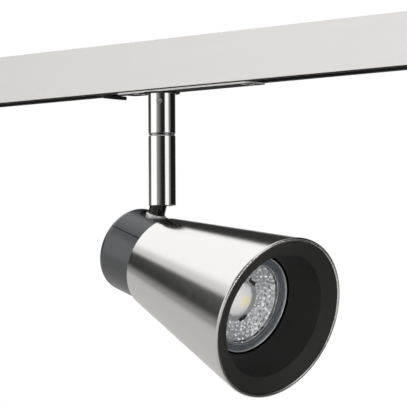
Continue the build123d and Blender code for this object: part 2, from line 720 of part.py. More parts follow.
def rear_housing():
    """Black cup behind the shade, with screw posts for the clamp and for the cover."""
    housing = housing_shell() - cover_zone(COVER_HALF_ANGLE + SEAM_HALF_ANGLE, COVER_REAR_RADIUS - 0.2)
    for place in clamp_screw_places()[1:]:
        housing += rod(3.25, -8, 0, place)
        housing -= rod(CLAMP_SCREW_SHANK, -CLAMP_SCREW_DEPTH - 0.1, 1, place)
    for angle in COVER_SCREW_ANGLES:
        post = rod(2.5, -24.1, -17.5, (COVER_SCREW_CIRCLE, 0))
        post += block((9, COVER_SCREW_CIRCLE), (-1.25, 1.25), (-24.1, -21))
        post &= housing_form(HOUSING_RADIUS - HOUSING_WALL - 0.2, -24.1, HOUSING_EDGE - HOUSING_WALL)
        post += block((9, 14.4), (-1.25, 1.25), (-25, -24.1))
        post -= rod(COVER_SCREW_SHANK, -24.5, -18.0, (COVER_SCREW_CIRCLE, 0))
        housing += Rot(0, 0, angle) * post
    return housing


def cover_screws():
    """Two slotted screws, flush in the rear face."""
    screws = []
    for x, y in cover_screw_places():
        screw = rod(COVER_SCREW_HEAD, -26, -25, (x, y)) + rod(COVER_SCREW_SHANK, -25, -18.0, (x, y))
        screws.append(screw - block((x - 3, x + 3), (y - 0.3, y + 0.3), (-27, -25.5)))
    return group(screws)


def shade_radius(u):
    """Outer radius of the shade at a distance from its rear edge."""
    return SHADE_REAR_RADIUS + (SHADE_RIM_RADIUS - SHADE_REAR_RADIUS) * u / SHADE_LENGTH


def shade():
    """Straight brushed-steel cone with a rear flange and a hemmed, rounded rim."""
    hem = SHADE_LENGTH - HEM_DEPTH
    hem_radius = SHADE_RIM_RADIUS - HEM_WIDTH
    cone = turned([(14, 0), (shade_radius(0), 0), (SHADE_RIM_RADIUS, SHADE_LENGTH),
                   (hem_radius, SHADE_LENGTH), (hem_radius, hem), (shade_radius(hem) - SHADE_WALL, hem),
                   (shade_radius(0.9) - SHADE_WALL, 0.9), (14, 0.9)])
    cone = fillet(edges_at(cone, SHADE_LENGTH, SHADE_RIM_RADIUS), 0.9)
    cone = fillet(edges_at(cone, SHADE_LENGTH, hem_radius), 0.7)
    cone = fillet(edges_at(cone, 0, SHADE_REAR_RADIUS), 0.7)
    for place in clamp_screw_places():
        cone -= rod(CLAMP_SCREW_HOLE, -1, 2, place)
    return cone


def baffle():
    """Black anti-glare ring: sloping front band, inner cone, and a skirt that snaps behind the hem."""
    return turned([(39.2, 86.9), (31.5, 84.0), (25.7, 67.0), (27.1, 67.0), (32.9, 83.2), (38.1, 84.6),
                   (36.3, 75.0), (37.65, 75.0), (39.6, 85.5), (39.2, 85.7)])


def holder_screw_places():
    """x of the two screws that fix the holder."""
    return (-HOLDER_SCREW_OFFSET, HOLDER_SCREW_OFFSET)


def holder_bracket():
    """Pressed-steel plate that clamps the shade and carries the lampholder."""
    plate = turned([(21, 0.9), (21, 2.1), (13.2, 2.1), (13.2, HOLDER_REAR), (7, HOLDER_REAR),
                    (7, BRACKET_STEP), (12.0, BRACKET_STEP), (12.0, 0.9)])
    for place in clamp_screw_places():
        plate -= rod(CLAMP_SCREW_HOLE, -1, 3, place)
    for x in holder_screw_places():
        plate -= rod(HOLDER_SCREW_SHANK, 0, 5, (x, 0))
    return plate


def bracket_screws():
    """Three pan-head screws that clamp bracket, shade and housing."""
    screws = []
    for x, y in clamp_screw_places():
        screw = rod(CLAMP_SCREW_HEAD, 2.1, 4.0, (x, y))
        screw += rod(CLAMP_SCREW_SHANK, -CLAMP_SCREW_DEPTH, 2.1, (x, y))
        screws.append(screw - block((x - 3, x + 3), (y - 0.35, y + 0.35), (3.0, 5)))
    return group(screws)


# ------------------------------------------------------------------ lampholder and lamp (OPTIC frame)
def pin_track(half, low, high, angle):
    """Curved path of a pin, of a half width, between two heights."""
    return sector(PIN_CIRCLE - half, PIN_CIRCLE + half, low, high, angle, LAMP_TWIST)


def lampholder():
    """Ceramic twist-lock holder with two curved keyhole slots."""
    above = HOLDER_FRONT + 1
    holder = rod(HOLDER_RADIUS, HOLDER_REAR, HOLDER_FRONT)
    holder = fillet(edges_at(holder, HOLDER_FRONT, HOLDER_RADIUS), 1.0)
    for angle in PIN_ANGLES:
        start = polar(PIN_CIRCLE, angle)
        entry = polar(PIN_CIRCLE, angle + LAMP_TWIST)
        holder -= pin_track(CAVITY_HALF, CAVITY_LOW, CAVITY_HIGH, angle)
        holder -= rod(CAVITY_HALF, CAVITY_LOW, CAVITY_HIGH, start)
        holder -= rod(CAVITY_HALF, CAVITY_LOW, above, entry)
        holder -= pin_track(KEYHOLE_HALF, CAVITY_HIGH - 0.1, above, angle)
        holder -= rod(KEYHOLE_HALF, CAVITY_HIGH - 0.1, above, start)
    for x in holder_screw_places():
        holder -= rod(CAVITY_HALF, HOLDER_SCREW_SEAT, above, (x, 0))
        holder -= rod(HOLDER_SCREW_SHANK, 3, 11, (x, 0))
    return holder


def holder_screws():
    """Two screws that fix the holder to its bracket."""
    screws = []
    for x in holder_screw_places():
        screw = rod(HOLDER_SCREW_HEAD, HOLDER_SCREW_SEAT, HOLDER_SCREW_SEAT + 2, (x, 0))
        screw += rod(HOLDER_SCREW_SHANK, 1.0, HOLDER_SCREW_SEAT, (x, 0))
        screws.append(screw - block((x - 3, x + 3), (-0.35, 0.35), (11.0, 13)))
    return group(screws)


def lampholder_contacts():
    """Two brass leaves under the lamp's pins."""
    leaves = []
    for angle in PIN_ANGLES:
        leaf = pin_track(LEAF_HALF, 12.2, 12.8, angle)
        leaves.append(leaf + rod(1.2, CAVITY_LOW, 12.5, polar(PIN_CIRCLE, angle + LAMP_TWIST / 2)))
    return group(leaves)


def lamp_pins():
    """Two headed bayonet pins."""
    pins = []
    for angle in PIN_ANGLES:
        place = polar(PIN_CIRCLE, angle)
        pin = rod(PIN_HEAD, PIN_LOW, PIN_SHOULDER, place)
        pins.append(pin + rod(PIN_SHANK, PIN_SHOULDER, PIN_HIGH, place))
    return group(pins)


def lamp_base():
    """Plastic base that holds the pins."""
    base = turned([(0, LAMP_BASE_REAR), (10.5, LAMP_BASE_REAR), (10.5, LAMP_BASE_FRONT - 3),
                   (13.5, LAMP_BASE_FRONT), (0, LAMP_BASE_FRONT)])
    for angle in PIN_ANGLES:
        base -= rod(PIN_SHANK, LAMP_BASE_REAR - 1, PIN_HIGH, polar(PIN_CIRCLE, angle))
    return base


def lamp_body():
    """Heat-sink body of the lamp, with cooling grooves."""
    body = turned([(13.6, LAMP_BASE_FRONT), (17.5, 36.0), (24.0, 57.0), (LAMP_RADIUS, 60.0),
                   (LAMP_RADIUS, LENS_BACK), (23.2, LENS_BACK), (23.2, 58.0), (16.5, 37.0), (12.0, 31.5),
                   (12.0, LAMP_BASE_FRONT)])
    for angle in range(0, 360, COOLING_GROOVE_STEP):
        groove = Pos(20.6, 0, 46.5) * Rot(0, 17.2, 0) * Box(0.8, 1.6, 18)
        body -= Rot(0, 0, angle) * Pos(0.6, 0, 0) * groove
    return body


def lamp_lens():
    """Clear outer ring of the lamp's face."""
    return turned([(20.0, LENS_BACK), (24.9, LENS_BACK), (24.9, 65.9), (24.3, LAMP_FACE),
                   (20.6, LAMP_FACE)])


def lamp_reflector():
    """Bright bowl behind the lens ring."""
    return turned([(8.6, BOWL_FLOOR), (13.0, 59.4), (17.0, 61.1), (20.0, 63.3), (23.1, 63.3), (23.1, 62.5),
                   (20.4, 62.5), (17.4, 60.3), (13.3, 58.55), (9.4, BOWL_FLOOR)])


def led_board():
    """Round board that carries the chip and spreads its heat."""
    return rod(17.0, BOWL_FLOOR - 1.6, BOWL_FLOOR)


def led_chip():
    """Yellow light-emitting disc."""
    return rod(4.5, BOWL_FLOOR, BOWL_FLOOR + CHIP_HEIGHT)


def led_dome():
    """Thin diffusing dome over the chip."""
    centre = BOWL_FLOOR + DOME_RISE - DOME_SPHERE
    cap = Pos(0, 0, centre) * (Sphere(DOME_SPHERE) - Sphere(DOME_SPHERE - DOME_WALL))
    return cap & rod(12, BOWL_FLOOR, BOWL_FLOOR + 2 * DOME_RISE)


def lamp_driver():
    """Driver board and capacitor inside the lamp."""
    board = block((-0.6, 0.6), (-8, 8), (31.0, 46.0))
    return board + block((0.6, 5.0), (-3, 3), (34.0, 43.0))


# ------------------------------------------------------------------ all nodes
def row_nodes():
    """Pieces already in the row frame."""
    return {
        "track_profile": track_profile(),
        "insulator_front": insulator(-1),
        "insulator_rear": insulator(1),
        "conductor_live": conductor(-1),
        "conductor_neutral": conductor(1),
        "end_cap_left": end_cap(-1),
        "end_cap_right": end_cap(1),
        "adapter_shell_front": adapter_shell(-1),
        "adapter_shell_rear": adapter_shell(1),
        "adapter_screws": adapter_screws(),
        "flange_plate": flange_plate(),
        "flange_screws": flange_screws(),
        "far_clip": far_clip(),
        "earth_spring": earth_spring(),
        "adapter_cable": adapter_cable(),
        "lock_lever": lock_lever(),
        "lock_rotor": lock_rotor(),
        "locking_dog": locking_dog(),
        "contact_live": contact_blade(-1),
        "contact_neutral": contact_blade(1),
        "stem_socket": stem_socket(),
        "stem_upper": stem_upper(),
        "set_screw": set_screw(),
        "swivel_core": swivel_core(),
        "seam_washer": seam_washer(),
        "core_clip": core_clip(),
        "swivel_bush": swivel_bush(),
        "thrust_washer": thrust_washer(),
        "stem_lower": stem_lower(),
        "spring_retainer": spring_retainer(),
        "friction_spring": friction_spring(),
        "friction_cup": friction_cup(),
        "stem_cable": stem_cable(),
    }


def head_nodes():
    """Pieces built in the HEAD frame."""
    return {
        "ball_neck": ball_neck(),
        "neck_plate": neck_plate(),
        "neck_nut": neck_nut(),
        "head_cable": head_cable(),
        "terminal_block": terminal_block(),
        "terminal_screws": terminal_screws(),
        "holder_leads": holder_leads(),
        "earth_lead": earth_lead(),
    }


def optic_nodes():
    """Pieces built in the OPTIC frame."""
    return {
        "top_cover": top_cover(),
        "rear_housing": rear_housing(),
        "cover_screws": cover_screws(),
        "shade": shade(),
        "baffle": baffle(),
        "holder_bracket": holder_bracket(),
        "bracket_screws": bracket_screws(),
        "lampholder": lampholder(),
        "holder_screws": holder_screws(),
        "lampholder_contacts": lampholder_contacts(),
        "lamp_pins": lamp_pins(),
        "lamp_base": lamp_base(),
        "lamp_body": lamp_body(),
        "lamp_lens": lamp_lens(),
        "lamp_reflector": lamp_reflector(),
        "led_board": led_board(),
        "led_chip": led_chip(),
        "led_dome": led_dome(),
        "lamp_driver": lamp_driver(),
    }


os.makedirs("parts", exist_ok=True)
for frame, nodes in ((Pos(0, 0, 0), row_nodes()), (HEAD, head_nodes()), (OPTIC, optic_nodes())):
    for name, shape in nodes.items():
        export_step(frame * shape, f"parts/{name}.step")
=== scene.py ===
import json
import random
from math import atan2, cos, pi, radians, sin

import bmesh
import bpy
from mathutils import Matrix, Vector


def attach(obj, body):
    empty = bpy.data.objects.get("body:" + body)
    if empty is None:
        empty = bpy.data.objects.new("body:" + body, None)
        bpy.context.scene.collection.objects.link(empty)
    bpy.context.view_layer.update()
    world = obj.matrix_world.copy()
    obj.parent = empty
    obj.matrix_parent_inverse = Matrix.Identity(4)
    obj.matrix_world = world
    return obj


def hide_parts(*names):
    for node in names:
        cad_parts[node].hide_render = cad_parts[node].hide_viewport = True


# Track spotlight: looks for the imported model.  Metres, the same frame as the CAD.
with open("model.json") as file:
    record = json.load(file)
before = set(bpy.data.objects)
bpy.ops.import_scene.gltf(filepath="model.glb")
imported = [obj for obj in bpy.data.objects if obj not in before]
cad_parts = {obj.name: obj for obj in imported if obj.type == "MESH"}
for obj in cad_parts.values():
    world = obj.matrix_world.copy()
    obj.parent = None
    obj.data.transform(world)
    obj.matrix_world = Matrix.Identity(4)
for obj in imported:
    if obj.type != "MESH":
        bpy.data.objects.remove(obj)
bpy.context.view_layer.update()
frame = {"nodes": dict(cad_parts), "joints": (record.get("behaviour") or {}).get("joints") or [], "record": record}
MM = 0.001


def joint(name):
    """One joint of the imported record."""
    return next(j for j in frame["joints"] if j["name"] == name)


# ------------------------------------------------------------------ places taken from the frame
PIVOT = Vector(joint("tilt")["pos_m"])
STEM_AXIS = Vector(joint("pan")["pos_m"])
LAMP_AXIS = Vector(joint("lamp_twist")["pos_m"])
BEAM = Vector(joint("lamp_twist")["axis"]).normalized()
TILT = atan2(-BEAM.z, BEAM.x)
HEAD_UP = Vector((sin(TILT), 0, cos(TILT)))

# OPTIC: x up the head, y towards the camera's side, z forward along the beam
OPTIC = Matrix.Translation(LAMP_AXIS) @ Matrix((HEAD_UP, BEAM.cross(HEAD_UP), BEAM)).transposed().to_4x4()

# ------------------------------------------------------------------ camera and room
CAMERA_PLACE = Vector((0.942, -0.904, -0.135))
CAMERA_HEADING = radians(135.81)
CAMERA_PITCH = radians(2.265)
CAMERA_ROLL = radians(-0.324)
CAMERA_LENS = 229.1
CAMERA_CLIP_END = 50.0

COLLAR_TOP = -13.6 * MM
SEAM_LOW = -48.6 * MM
SEAM_HIGH = -46.8 * MM
UNMIRRORED_BODIES = ("track", "adapter", "lock", "swivel")

FLOOR_HEIGHT = -0.32
FLOOR_REACH = 3.0
FLOOR_SIDES = 96
CARD_PLACE = (0.42, 0.38)
CARD_HALF = 0.34
CARD_LIFT = 0.01

WORLD_BASE = 0.34
WORLD_SEEN = 1.0

# Lights: azimuth and elevation from the pivot in degrees, distance and size in metres, and power
SOFT_LIGHTS = {
    "key_light": (-150, 55, 2.2, 1.4, 7),
    "fill_light": (-40, 20, 2.2, 1.6, 3),
    "mouth_light": (-12, -10, 0.9, 0.15, 2),
}

# Soft boxes and flags around the object, as a photographer would stand them.  Each has its azimuth
# span from +X, its elevation span, its brightness, and the softness of its left, right, bottom and
# top edges, all in degrees.  A later one stands in front of an earlier one.
PANELS = {
    "zenith_box": ((-180, 180), (68, 92), 1.5, (1, 1, 8, 1)),
    "backdrop": ((116, 152), (-30, 12), 1.15, (4, 4, 3, 3)),
    "backdrop_flag": ((112, 149), (14.5, 58), 0.035, (4, 4, 3, 6)),
    "left_box": ((149, 216), (21, 66), 1.28, (4, 6, 4, 6)),
    "left_dim": ((158, 214), (20, 30), 0.80, (6, 6, 3, 4)),
    "left_flag": ((157, 216), (2.2, 21.5), 0.018, (4, 4, 4, 2.2)),
    "front_left_box": ((-148, -91), (-18, 36), 1.25, (4, 4, 5, 5)),
    "camera_side_flag": ((-66, -18), (-34, 34), 0.018, (22, 3, 5, 5)),
    "right_box": ((-18, 13), (-26, 44), 1.15, (3, 4, 5, 5)),
    "right_flag": ((27, 104), (-34, 44), 0.012, (12, 10, 6, 5)),
}


# ------------------------------------------------------------------ node helpers
class Nodes:
    """Adds and links the nodes of one shader tree."""

    def __init__(self, tree):
        self.tree = tree

    def feed(self, socket, source):
        """Link a socket to another, or give it a value."""
        if isinstance(source, bpy.types.NodeSocket):
            self.tree.links.new(source, socket)
        elif source is not None:
            socket.default_value = source

    def add(self, kind, *sources, **settings):
        """New node: settings are its properties, and the sources feed its inputs in order."""
        node = self.tree.nodes.new(kind)
        for name, value in settings.items():
            setattr(node, name, value)
        for socket, source in zip(node.inputs, sources):
            self.feed(socket, source)
        return node

    def math(self, operation, *sources):
        """Result of one arithmetic step."""
        return self.add("ShaderNodeMath", *sources, operation=operation).outputs[0]

    def vector(self, operation, *sources):
        """Vector result of one vector step."""
        return self.add("ShaderNodeVectorMath", *sources, operation=operation).outputs["Vector"]

    def dot(self, vector, direction):
        """Scalar product with a fixed direction or another vector."""
        return self.add("ShaderNodeVectorMath", vector, direction, operation="DOT_PRODUCT").outputs["Value"]

    def ramp(self, value, low, high, start=0.0, end=1.0):
        """Smooth step of a value from one range to another."""
        node = self.add("ShaderNodeMapRange", value, low, high, start, end, interpolation_type="SMOOTHSTEP")
        return node.outputs["Result"]

    def blend(self, factor, first, second):
        """Mix of two colours."""
        node = self.add("ShaderNodeMix", data_type="RGBA")
        self.feed(node.inputs["Factor"], factor)
        for socket, source in ((node.inputs[6], first), (node.inputs[7], second)):
            self.feed(socket, source)
        return node.outputs[2]

    def noise(self, vector, scale, detail=3.0, roughness=0.6):
        """Fractal noise between 0 and 1."""
        node = self.add("ShaderNodeTexNoise")
        self.feed(node.inputs["Vector"], vector)
        for name, value in (("Scale", scale), ("Detail", detail), ("Roughness", roughness)):
            node.inputs[name].default_value = value
        return node.outputs["Fac"]

    def bump(self, height, depth, strength=1.0):
        """Surface normal from a height between 0 and 1 and a real depth."""
        node = self.add("ShaderNodeBump")
        node.inputs["Strength"].default_value = strength
        node.inputs["Distance"].default_value = depth
        self.feed(node.inputs["Height"], height)
        return node.outputs["Normal"]


def grey(value):
    """Neutral colour."""
    return (value, value, value, 1.0)


def shaded(colour, factor):
    """Colour made lighter or darker."""
    return tuple(min(1.0, channel * factor) for channel in colour[:3]) + (1.0,)


# ------------------------------------------------------------------ coordinates for grain
def object_place(nodes):
    """Place on the object at rest, in metres."""
    return nodes.add("ShaderNodeTexCoord").outputs["Object"]


def stretched(nodes, along, across):
    """Coordinates that draw noise out along X, for brushing down a profile's length."""
    return nodes.vector("MULTIPLY", object_place(nodes), (along, across, across))


def turned(nodes, origin, tilt, along, around):
    """Coordinates that draw noise out around an axis, for a lathe's marks.

    The axis is X of a frame at origin, turned about Y by tilt."""
    local = nodes.add("ShaderNodeMapping", object_place(nodes), vector_type="TEXTURE")
    local.inputs["Location"].default_value = origin
    local.inputs["Rotation"].default_value = (0, tilt, 0)
    parts = nodes.add("ShaderNodeSeparateXYZ", local.outputs["Vector"])
    flat = nodes.add("ShaderNodeCombineXYZ", 0.0, parts.outputs["Y"], parts.outputs["Z"]).outputs["Vector"]
    ring = nodes.vector("SCALE", nodes.vector("NORMALIZE", flat))
    ring.node.inputs["Scale"].default_value = around
    offset = nodes.math("MULTIPLY", parts.outputs["X"], along)
    return nodes.vector("ADD", ring, nodes.add("ShaderNodeCombineXYZ", offset).outputs["Vector"])


def edge_mask(nodes, radius):
    """1 on sharp edges and 0 on flats."""
    rounded = nodes.add("ShaderNodeBevel", radius, samples=4).outputs["Normal"]
    true_normal = nodes.add("ShaderNodeNewGeometry").outputs["Normal"]
    return nodes.ramp(nodes.dot(rounded, true_normal), 0.99, 0.86)


# ------------------------------------------------------------------ materials
SOCKETS = {
    "metallic": "Metallic", "roughness": "Roughness", "ior": "IOR", "specular": "Specular IOR Level",
    "coat": "Coat Weight", "coat_roughness": "Coat Roughness", "transmission": "Transmission Weight",
    "emission": "Emission Strength", "subsurface": "Subsurface Weight",
}


def new_material(name, colour, **values):
    """Material with constant values set on its shader; returns it with its nodes and shader."""
    material = bpy.data.materials.new("look_" + name)
    material.use_nodes = True
    shader = material.node_tree.nodes["Principled BSDF"]
    shader.inputs["Base Color"].default_value = colour
    for key, value in values.items():
        shader.inputs[SOCKETS[key]].default_value = value
    return material, Nodes(material.node_tree), shader


def vary(nodes, shader, pattern, colour, spread, roughness, depth):
    """Let one pattern drive colour, roughness (low, high) and height."""
    tint = nodes.blend(pattern, shaded(colour, 1 - spread), shaded(colour, 1 + spread))
    nodes.feed(shader.inputs["Base Color"], tint)
    nodes.feed(shader.inputs["Roughness"], nodes.ramp(pattern, 0.25, 0.75, *roughness))
    nodes.feed(shader.inputs["Normal"], nodes.bump(pattern, depth))
    return tint


def brushed_track():
    """Steel brushed along the profile, with the faces that point down painted near black as painted shade."""
    colour = (0.665, 0.65, 0.63, 1)
    material, nodes, shader = new_material("brushed_track", colour, specular=0.0)
    fine = nodes.noise(stretched(nodes, along=22, across=2600), 1.0, detail=4.0)
    tint = vary(nodes, shader, fine, colour, spread=0.018, roughness=(0.28, 0.33), depth=0.0006 * MM)
    normal = nodes.add("ShaderNodeNewGeometry").outputs["Normal"]
    # Faces that point down are painted near black and non-metallic: painted shade under the profile.
    painted_underside_shade = nodes.ramp(nodes.dot(normal, (0, 0, 1)), -0.4, -0.7)
    nodes.feed(shader.inputs["Base Color"], nodes.blend(painted_underside_shade, tint, grey(0.01)))
    nodes.feed(shader.inputs["Metallic"], nodes.math("SUBTRACT", 1.0, painted_underside_shade))
    return material


def brushed_shade():
    """Satin steel, spun on a lathe, so its marks run round the cone."""
    colour = (0.715, 0.705, 0.69, 1)
    material, nodes, shader = new_material("brushed_shade", colour, metallic=1.0)
    fine = nodes.noise(turned(nodes, LAMP_AXIS, TILT, along=3200, around=5), 1.0, detail=4.0)
    vary(nodes, shader, fine, colour, spread=0.02, roughness=(0.12, 0.19), depth=0.002 * MM)
    return material


def polished_chrome():
    """Bright plating with a trace of polishing haze, darkened in the seam between the tubes as painted shade."""
    colour = (0.80, 0.80, 0.79, 1)
    material, nodes, shader = new_material("polished_chrome", colour, metallic=1.0)
    haze = nodes.noise(turned(nodes, STEM_AXIS, pi / 2, along=900, around=3), 1.0)
    tint = vary(nodes, shader, haze, colour, spread=0.015, roughness=(0.045, 0.085), depth=0.0006 * MM)
    height = nodes.add("ShaderNodeSeparateXYZ", object_place(nodes)).outputs["Z"]
    # The groove at the seam between the tubes is painted dark grey: painted shade.
    seam = nodes.math("MULTIPLY", nodes.ramp(height, SEAM_LOW, SEAM_LOW + 0.1 * MM),
                      nodes.ramp(height, SEAM_HIGH - 0.1 * MM, SEAM_HIGH, 1.0, 0.0))
    nodes.feed(shader.inputs["Base Color"], nodes.blend(seam, tint, grey(0.26)))
    return material


def dark_neck():
    """Dark metal ball and neck above a collar painted near white, partly polished metal and partly a painted
    highlight.
    """
    dark, bright = (0.035, 0.034, 0.033, 1), (0.83, 0.825, 0.81, 1)
    material, nodes, shader = new_material("dark_neck", dark, metallic=1.0)
    above = nodes.dot(nodes.vector("SUBTRACT", object_place(nodes), PIVOT), tuple(HEAD_UP))
    haze = nodes.noise(object_place(nodes), 1500.0)
    vary(nodes, shader, haze, dark, spread=0.3, roughness=(0.14, 0.24), depth=0.001 * MM)
    collar = nodes.ramp(above, COLLAR_TOP - 0.1 * MM, COLLAR_TOP, 1.0, 0.0)
    # The collar is painted near white and only half metallic: partly a painted highlight.
    nodes.feed(shader.inputs["Base Color"], nodes.blend(collar, dark, bright))
    nodes.feed(shader.inputs["Metallic"], nodes.ramp(collar, 0.0, 1.0, 1.0, 0.45))
    nodes.feed(shader.inputs["Roughness"], nodes.ramp(nodes.math("ADD", haze, collar), 0.4, 1.4, 0.15, 0.3))
    return material


def moulded(name, colour, roughness, depth, size, spread=0.12, **values):
    """Plastic, ceramic or rubber with a fine moulded skin and a slow change of tone."""
    material, nodes, shader = new_material(name, colour, **values)
    place = object_place(nodes)
    skin = nodes.noise(place, 1 / size, detail=2.0)
    slow = nodes.noise(place, 45.0, detail=2.0)
    both = nodes.math("MULTIPLY_ADD", slow, 0.35, nodes.math("MULTIPLY", skin, 0.65))
    vary(nodes, shader, both, colour, spread, roughness, depth)
    return material


def plated(name, colour, roughness, spread=0.08, depth=0.002 * MM, size=0.4 * MM):
    """Bare or plated metal with faint mottling and brighter edges."""
    material, nodes, shader = new_material(name, colour, metallic=1.0)
    mottle = nodes.noise(object_place(nodes), 1 / size, detail=4.0)
    tint = vary(nodes, shader, mottle, colour, spread, roughness, depth)
    edges = edge_mask(nodes, 0.15 * MM)
    nodes.feed(shader.inputs["Base Color"], nodes.blend(edges, tint, shaded(colour, 1.25)))
    return material


def black_metal(name, bare_sides):
    """Black-coated steel with rubbed edges, and bare sides where a coated sheet was sheared."""
    coat, bare = grey(0.012), (0.78, 0.775, 0.76, 1)
    material, nodes, shader = new_material(name, coat, specular=0.02)
    place = object_place(nodes)
    skin = nodes.noise(place, 1 / (0.35 * MM))
    tint = vary(nodes, shader, skin, coat, spread=0.25, roughness=(0.5, 0.7), depth=0.004 * MM)
    patches = nodes.ramp(nodes.noise(place, 600.0), 0.5, 0.65)
    worn = nodes.math("MULTIPLY", edge_mask(nodes, 0.2 * MM), patches)
    if bare_sides:
        normal = nodes.add("ShaderNodeNewGeometry").outputs["Normal"]
        upright = nodes.math("ABSOLUTE", nodes.dot(normal, (0, 0, 1)))
        worn = nodes.math("MAXIMUM", worn, nodes.ramp(upright, 0.6, 0.4))
    nodes.feed(shader.inputs["Base Color"], nodes.blend(worn, tint, bare))
    nodes.feed(shader.inputs["Metallic"], worn)
    return material


def housing_grey():
    """Satin graphite coat over a moulded housing, with its edges painted lighter as a painted highlight."""
    colour = (0.062, 0.066, 0.071, 1)
    material, nodes, shader = new_material(
        "grey_plastic", colour, metallic=0.3, coat=0.5, coat_roughness=0.25)
    place = object_place(nodes)
    skin = nodes.noise(place, 1 / (0.3 * MM))
    tint = vary(nodes, shader, skin, colour, spread=0.10, roughness=(0.30, 0.40), depth=0.003 * MM)
    # Sharp edges are painted lighter: a painted highlight.
    edge = nodes.math("MULTIPLY", edge_mask(nodes, 0.25 * MM), 0.5)
    nodes.feed(shader.inputs["Base Color"], nodes.blend(edge, tint, shaded(colour, 1.8)))
    return material


def baffle_black():
    """Matt black anti-glare finish."""
    colour = (0.017, 0.017, 0.016, 1)
    material, nodes, shader = new_material("baffle_black", colour, specular=0.45)
    fine = nodes.noise(turned(nodes, LAMP_AXIS, TILT, along=1800, around=30), 1.0)
    vary(nodes, shader, fine, colour, spread=0.2, roughness=(0.42, 0.55), depth=0.006 * MM)
    return material


def earth_sleeve():
    """Green sleeve with a yellow stripe wound round it."""
    green, yellow = (0.03, 0.22, 0.05, 1), (0.75, 0.55, 0.03, 1)
    material, nodes, shader = new_material("earth_sleeve", green)
    parts = nodes.add("ShaderNodeSeparateXYZ", object_place(nodes))
    phase = nodes.math("ADD", parts.outputs["X"], parts.outputs["Z"])
    stripe = nodes.math("GREATER_THAN", nodes.math("SINE", nodes.math("MULTIPLY", phase, 1800.0)), 0.3)
    nodes.feed(shader.inputs["Base Color"], nodes.blend(stripe, green, yellow))
    skin = nodes.noise(object_place(nodes), 2500.0)
    nodes.feed(shader.inputs["Roughness"], nodes.ramp(skin, 0.2, 0.8, 0.35, 0.5))
    nodes.feed(shader.inputs["Normal"], nodes.bump(skin, 0.004 * MM))
    return material


def circuit_board():
    """White solder mask with round pads on a grid."""
    mask, pad = (0.62, 0.63, 0.62, 1), (0.62, 0.50, 0.30, 1)
    material, nodes, shader = new_material("circuit_board", mask, coat=0.4)
    spots = nodes.add("ShaderNodeTexVoronoi", object_place(nodes))
    spots.inputs["Scale"].default_value = 420.0
    spots.inputs["Randomness"].default_value = 0.35
    on_pad = nodes.ramp(spots.outputs["Distance"], 0.22, 0.18)
    nodes.feed(shader.inputs["Base Color"], nodes.blend(on_pad, mask, pad))
    nodes.feed(shader.inputs["Metallic"], on_pad)
    nodes.feed(shader.inputs["Roughness"], nodes.ramp(on_pad, 0.0, 1.0, 0.45, 0.28))
    nodes.feed(shader.inputs["Normal"], nodes.bump(on_pad, 0.02 * MM))
    return material


def lamp_clear():
    """Thick clear moulding, grey-blue where it lies over the dark rim."""
    colour = (0.15, 0.17, 0.205, 1)
    material, nodes, shader = new_material(
        "lamp_clear", colour, ior=1.49, transmission=0.55, coat=0.6, coat_roughness=0.04)
    ripple = nodes.noise(object_place(nodes), 800.0, detail=4.0)
    vary(nodes, shader, ripple, colour, spread=0.5, roughness=(0.05, 0.2), depth=0.2 * MM)
    return material


def lamp_mirror():
    """Vacuum-metallised plastic, cool and bright."""
    colour = (0.82, 0.89, 1.0, 1)
    material, nodes, shader = new_material(
        "lamp_mirror", colour, metallic=0.6, coat=0.6, coat_roughness=0.03)
    haze = nodes.noise(object_place(nodes), 450.0, detail=4.0, roughness=0.7)
    vary(nodes, shader, haze, colour, spread=0.5, roughness=(0.06, 0.16), depth=0.03 * MM)
    return material


def radial_distance(nodes):
    """Distance from the lamp's axis, in millimetres."""
    offset = nodes.vector("SUBTRACT", object_place(nodes), LAMP_AXIS)
    along = nodes.vector("SCALE", tuple(BEAM))
    nodes.feed(along.node.inputs["Scale"], nodes.dot(offset, tuple(BEAM)))
    flat = nodes.vector("SUBTRACT", offset, along)
    length = nodes.add("ShaderNodeVectorMath", flat, operation="LENGTH").outputs["Value"]
    return nodes.math("MULTIPLY", length, 1 / MM)


def lamp_diffuser():
    """Milky dome with the yellow phosphor showing through its middle, and a faint painted glow over the whole
    dome.
    """
    milk, warm, rose = (0.80, 0.785, 0.775, 1), (0.93, 0.80, 0.44, 1), (0.82, 0.76, 0.78, 1)
    # Emission gives the whole dome a faint painted glow.
    material, nodes, shader = new_material(
        "lamp_diffuser", milk, coat=1.0, coat_roughness=0.05, subsurface=0.15, emission=0.22)
    shader.inputs["Emission Color"].default_value = milk
    radius = radial_distance(nodes)
    cloud = nodes.noise(object_place(nodes), 420.0, detail=2.0)
    outer = nodes.blend(cloud, milk, rose)
    nodes.feed(shader.inputs["Base Color"], nodes.blend(nodes.ramp(radius, 4.6, 1.4), outer, warm))
    nodes.feed(shader.inputs["Roughness"], nodes.ramp(cloud, 0.2, 0.8, 0.28, 0.42))
    nodes.feed(shader.inputs["Normal"], nodes.bump(cloud, 0.03 * MM))
    return material


MOULDED = {
    "black_plastic": dict(colour=grey(0.012), roughness=(0.5, 0.7), depth=0.006 * MM, size=0.35 * MM,
                          spread=0.25, specular=0.06),
    "white_nylon": dict(colour=(0.74, 0.73, 0.69, 1), roughness=(0.35, 0.5), depth=0.004 * MM,
                        size=0.5 * MM, subsurface=0.1),
    "porcelain": dict(colour=(0.78, 0.765, 0.73, 1), roughness=(0.18, 0.34), depth=0.01 * MM,
                      size=0.8 * MM, spread=0.05, coat=0.5),
    "cable_sheath": dict(colour=grey(0.022), roughness=(0.4, 0.55), depth=0.01 * MM, size=0.5 * MM,
                         spread=0.2),
    "glass_sleeve": dict(colour=(0.70, 0.68, 0.60, 1), roughness=(0.5, 0.7), depth=0.03 * MM,
                         size=0.25 * MM),
    "lamp_white": dict(colour=(0.72, 0.72, 0.70, 1), roughness=(0.3, 0.42), depth=0.004 * MM,
                       size=0.5 * MM, spread=0.05),
    "phosphor": dict(colour=(0.86, 0.66, 0.12, 1), roughness=(0.3, 0.45), depth=0.01 * MM,
                     size=0.3 * MM, coat=0.6),
}

